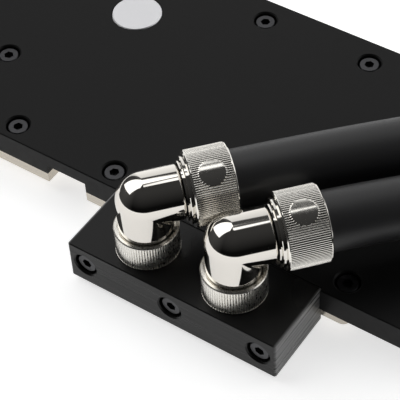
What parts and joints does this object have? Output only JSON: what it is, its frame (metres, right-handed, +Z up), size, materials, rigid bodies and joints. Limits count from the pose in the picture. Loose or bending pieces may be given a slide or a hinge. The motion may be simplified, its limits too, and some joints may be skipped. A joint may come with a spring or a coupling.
{
  "type": "liquid cooling cold plate",
  "caption": "Cold plate for a processor card: plastic cover on a plated copper base, with a side terminal, swivel elbows, knurled hose collars and rubber hoses.",
  "frame": {"origin": "centre of the raised face that touches the chip, on the underside of the base plate", "axes": "+X along the plate to the short end of the cover that stands clear of the base, +Y away from the terminal, +Z up, out of the cover"},
  "size_m": [0.3781, 0.2552, 0.0512],
  "materials": {
    "cover": "milled black acetal",
    "terminal": "milled black acetal",
    "base": "nickel plated copper, satin",
    "fitting": "polished nickel plate on brass",
    "hose": "matt black rubber",
    "seal": "black nitrile rubber",
    "screw": "black oxide steel",
    "badge": "satin anodised",
    "jet": "stainless sheet",
    "clip": "spring steel",
    "standoff": "turned brass"
  },
  "bodies": {
    "plate": {"base_plate": "base", "cover_gasket": "seal", "jet_plate": "jet", "cover_plate": "cover", "badge_disc": "badge", "terminal_block": "terminal", "terminal_gasket_a": "seal", "terminal_gasket_b": "seal", "cover_screws": "screw", "terminal_screws": "screw", "board_standoffs": "standoff", "rotary_base_a": "fitting", "port_seal_a": "seal", "rotary_base_b": "fitting", "port_seal_b": "seal"},
    "outlet_a": {"elbow_a": "fitting", "swivel_seal_a": "seal", "swivel_clip_a": "clip", "hose_barb_a": "fitting", "barb_seal_a": "seal", "collar_a": "fitting", "hose_a": "hose", "end_barb_a": "fitting", "end_seal_a": "seal", "end_collar_a": "fitting"},
    "outlet_b": {"elbow_b": "fitting", "swivel_seal_b": "seal", "swivel_clip_b": "clip", "hose_barb_b": "fitting", "barb_seal_b": "seal", "collar_b": "fitting", "hose_b": "hose", "end_barb_b": "fitting", "end_seal_b": "seal", "end_collar_b": "fitting"}
  },
  "joints": [
    {"name": "elbow_a_swivel", "type": "hinge", "parent": "plate", "child": "outlet_a", "pos_m": [-0.01613, -0.0656, 0.0367], "axis": [0, 0, 1], "range_deg": [0, 75]},
    {"name": "elbow_b_swivel", "type": "hinge", "parent": "plate", "child": "outlet_b", "pos_m": [0.01613, -0.0656, 0.0367], "axis": [0, 0, 1], "range_deg": [-180, 0]}
  ]
}
